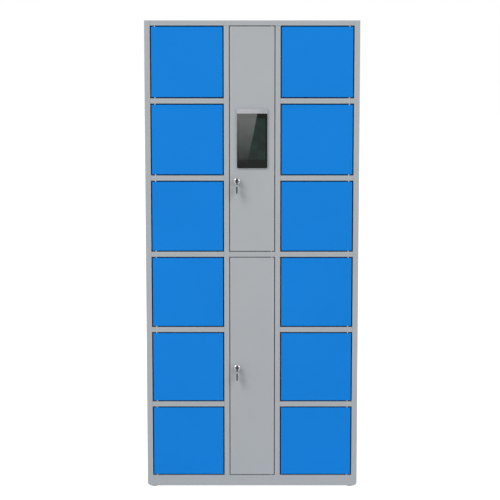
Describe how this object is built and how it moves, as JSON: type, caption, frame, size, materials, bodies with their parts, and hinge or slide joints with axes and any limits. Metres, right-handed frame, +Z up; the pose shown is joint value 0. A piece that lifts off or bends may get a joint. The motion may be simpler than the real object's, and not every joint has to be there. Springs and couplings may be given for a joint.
{
  "type": "smart locker",
  "caption": "Folded-steel parcel locker cabinet with two columns of small doors and a service column with a touch screen and key locks.",
  "frame": {"origin": "on the floor, under the middle of the cabinet's footprint", "axes": "+Z up, the doors face -Y, +X to the right when facing the doors"},
  "size_m": [0.86, 0.49, 1.9],
  "materials": {
    "cabinet_paint": "light grey powder coat with a fine texture",
    "door_paint": "blue powder coat with a fine texture",
    "zinc_plate": "zinc-plated steel, softly bright",
    "lock_chrome": "bright chrome plate",
    "lock_steel": "dull nickel plate",
    "key_plastic": "black moulded plastic",
    "lock_case": "black moulded plastic",
    "screen_frame": "light grey moulded plastic, smooth",
    "screen_glass": "black-backed cover glass",
    "electronics_case": "dark grey plastic case",
    "circuit_board": "green circuit board",
    "supply_case": "bare aluminium case",
    "rubber": "grey rubber",
    "black_rubber": "black rubber"
  },
  "bodies": {
    "cabinet": {"left_side_panel": "cabinet_paint", "right_side_panel": "cabinet_paint", "top_panel": "cabinet_paint", "base_panel": "cabinet_paint", "back_panel": "cabinet_paint", "left_partition": "cabinet_paint", "right_partition": "cabinet_paint", "left_shelves": "cabinet_paint", "right_shelves": "cabinet_paint", "centre_shelf": "cabinet_paint", "feet": "rubber", "hinge_pins": "zinc_plate", "lock_housings": "lock_case", "lock_screws": "zinc_plate", "controller_board": "circuit_board", "power_supply": "supply_case", "cable_grommet": "black_rubber"},
    "door_l6": {"door_l6": "door_paint"},
    "latch_l6": {"latch_l6": "zinc_plate"},
    "door_r6": {"door_r6": "door_paint"},
    "latch_r6": {"latch_r6": "zinc_plate"},
    "door_l5": {"door_l5": "door_paint"},
    "latch_l5": {"latch_l5": "zinc_plate"},
    "door_r5": {"door_r5": "door_paint"},
    "latch_r5": {"latch_r5": "zinc_plate"},
    "door_l4": {"door_l4": "door_paint"},
    "latch_l4": {"latch_l4": "zinc_plate"},
    "door_r4": {"door_r4": "door_paint"},
    "latch_r4": {"latch_r4": "zinc_plate"},
    "door_l3": {"door_l3": "door_paint"},
    "latch_l3": {"latch_l3": "zinc_plate"},
    "door_r3": {"door_r3": "door_paint"},
    "latch_r3": {"latch_r3": "zinc_plate"},
    "door_l2": {"door_l2": "door_paint"},
    "latch_l2": {"latch_l2": "zinc_plate"},
    "door_r2": {"door_r2": "door_paint"},
    "latch_r2": {"latch_r2": "zinc_plate"},
    "door_l1": {"door_l1": "door_paint"},
    "latch_l1": {"latch_l1": "zinc_plate"},
    "door_r1": {"door_r1": "door_paint"},
    "latch_r1": {"latch_r1": "zinc_plate"},
    "upper_service_door": {"upper_service_door": "cabinet_paint", "upper_lock_barrel": "lock_chrome", "upper_lock_nut": "zinc_plate", "screen_bezel": "screen_frame", "screen_glass": "screen_glass", "screen_module": "electronics_case"},
    "upper_lock": {"upper_lock_cylinder": "lock_steel", "upper_lock_cam": "zinc_plate", "upper_key": "key_plastic", "upper_key_ring": "lock_chrome"},
    "upper_spare_key": {"upper_spare_key": "key_plastic"},
    "lower_service_door": {"lower_service_door": "cabinet_paint", "lower_lock_barrel": "lock_chrome", "lower_lock_nut": "zinc_plate"},
    "lower_lock": {"lower_lock_cylinder": "lock_steel", "lower_lock_cam": "zinc_plate", "lower_key": "key_plastic", "lower_key_ring": "lock_chrome"},
    "lower_spare_key": {"lower_spare_key": "key_plastic"}
  },
  "joints": [
    {"name": "door_l6_hinge", "type": "hinge", "parent": "cabinet", "child": "door_l6", "pos_m": [-0.389, -0.217, 0.1905], "axis": [0, 0, -1], "range_deg": [0, 110]},
    {"name": "latch_l6_slide", "type": "slide", "parent": "cabinet", "child": "latch_l6", "axis": [0, 0, 1], "range_m": [0, 0.008]},
    {"name": "door_r6_hinge", "type": "hinge", "parent": "cabinet", "child": "door_r6", "pos_m": [0.389, -0.217, 0.1905], "axis": [0, 0, 1], "range_deg": [0, 110]},
    {"name": "latch_r6_slide", "type": "slide", "parent": "cabinet", "child": "latch_r6", "axis": [0, 0, 1], "range_m": [0, 0.008]},
    {"name": "door_l5_hinge", "type": "hinge", "parent": "cabinet", "child": "door_l5", "pos_m": [-0.389, -0.217, 0.4995], "axis": [0, 0, -1], "range_deg": [0, 110]},
    {"name": "latch_l5_slide", "type": "slide", "parent": "cabinet", "child": "latch_l5", "axis": [0, 0, 1], "range_m": [0, 0.008]},
    {"name": "door_r5_hinge", "type": "hinge", "parent": "cabinet", "child": "door_r5", "pos_m": [0.389, -0.217, 0.4995], "axis": [0, 0, 1], "range_deg": [0, 110]},
    {"name": "latch_r5_slide", "type": "slide", "parent": "cabinet", "child": "latch_r5", "axis": [0, 0, 1], "range_m": [0, 0.008]},
    {"name": "door_l4_hinge", "type": "hinge", "parent": "cabinet", "child": "door_l4", "pos_m": [-0.389, -0.217, 0.8085], "axis": [0, 0, -1], "range_deg": [0, 110]},
    {"name": "latch_l4_slide", "type": "slide", "parent": "cabinet", "child": "latch_l4", "axis": [0, 0, 1], "range_m": [0, 0.008]},
    {"name": "door_r4_hinge", "type": "hinge", "parent": "cabinet", "child": "door_r4", "pos_m": [0.389, -0.217, 0.8085], "axis": [0, 0, 1], "range_deg": [0, 110]},
    {"name": "latch_r4_slide", "type": "slide", "parent": "cabinet", "child": "latch_r4", "axis": [0, 0, 1], "range_m": [0, 0.008]},
    {"name": "door_l3_hinge", "type": "hinge", "parent": "cabinet", "child": "door_l3", "pos_m": [-0.389, -0.217, 1.1175], "axis": [0, 0, -1], "range_deg": [0, 110]},
    {"name": "latch_l3_slide", "type": "slide", "parent": "cabinet", "child": "latch_l3", "axis": [0, 0, 1], "range_m": [0, 0.008]},
    {"name": "door_r3_hinge", "type": "hinge", "parent": "cabinet", "child": "door_r3", "pos_m": [0.389, -0.217, 1.1175], "axis": [0, 0, 1], "range_deg": [0, 110]},
    {"name": "latch_r3_slide", "type": "slide", "parent": "cabinet", "child": "latch_r3", "axis": [0, 0, 1], "range_m": [0, 0.008]},
    {"name": "door_l2_hinge", "type": "hinge", "parent": "cabinet", "child": "door_l2", "pos_m": [-0.389, -0.217, 1.4265], "axis": [0, 0, -1], "range_deg": [0, 110]},
    {"name": "latch_l2_slide", "type": "slide", "parent": "cabinet", "child": "latch_l2", "axis": [0, 0, 1], "range_m": [0, 0.008]},
    {"name": "door_r2_hinge", "type": "hinge", "parent": "cabinet", "child": "door_r2", "pos_m": [0.389, -0.217, 1.4265], "axis": [0, 0, 1], "range_deg": [0, 110]},
    {"name": "latch_r2_slide", "type": "slide", "parent": "cabinet", "child": "latch_r2", "axis": [0, 0, 1], "range_m": [0, 0.008]},
    {"name": "door_l1_hinge", "type": "hinge", "parent": "cabinet", "child": "door_l1", "pos_m": [-0.389, -0.217, 1.7355], "axis": [0, 0, -1], "range_deg": [0, 110]},
    {"name": "latch_l1_slide", "type": "slide", "parent": "cabinet", "child": "latch_l1", "axis": [0, 0, 1], "range_m": [0, 0.008]},
    {"name": "door_r1_hinge", "type": "hinge", "parent": "cabinet", "child": "door_r1", "pos_m": [0.389, -0.217, 1.7355], "axis": [0, 0, 1], "range_deg": [0, 110]},
    {"name": "latch_r1_slide", "type": "slide", "parent": "cabinet", "child": "latch_r1", "axis": [0, 0, 1], "range_m": [0, 0.008]},
    {"name": "upper_service_door_hinge", "type": "hinge", "parent": "cabinet", "child": "upper_service_door", "pos_m": [0.0775, -0.217, 1.4265], "axis": [0, 0, 1], "range_deg": [0, 110]},
    {"name": "upper_lock_turn", "type": "hinge", "parent": "upper_service_door", "child": "upper_lock", "pos_m": [-0.0613, -0.225, 1.2595], "axis": [0, 1, 0], "range_deg": [0, 90]},
    {"name": "upper_spare_key_hang", "type": "hinge", "parent": "upper_lock", "child": "upper_spare_key", "pos_m": [-0.0613, -0.252, 1.247], "axis": [0, 1, 0], "range_deg": [-90, 0]},
    {"name": "lower_service_door_hinge", "type": "hinge", "parent": "cabinet", "child": "lower_service_door", "pos_m": [0.0775, -0.217, 0.4995], "axis": [0, 0, 1], "range_deg": [0, 110]},
    {"name": "lower_lock_turn", "type": "hinge", "parent": "lower_service_door", "child": "lower_lock", "pos_m": [-0.0613, -0.225, 0.4955], "axis": [0, 1, 0], "range_deg": [0, 90]},
    {"name": "lower_spare_key_hang", "type": "hinge", "parent": "lower_lock", "child": "lower_spare_key", "pos_m": [-0.0613, -0.252, 0.483], "axis": [0, 1, 0], "range_deg": [-90, 0]}
  ],
  "couplings": [
    {"joint": "upper_spare_key_hang", "follows": "upper_lock_turn", "ratio": -1},
    {"joint": "lower_spare_key_hang", "follows": "lower_lock_turn", "ratio": -1}
  ]
}
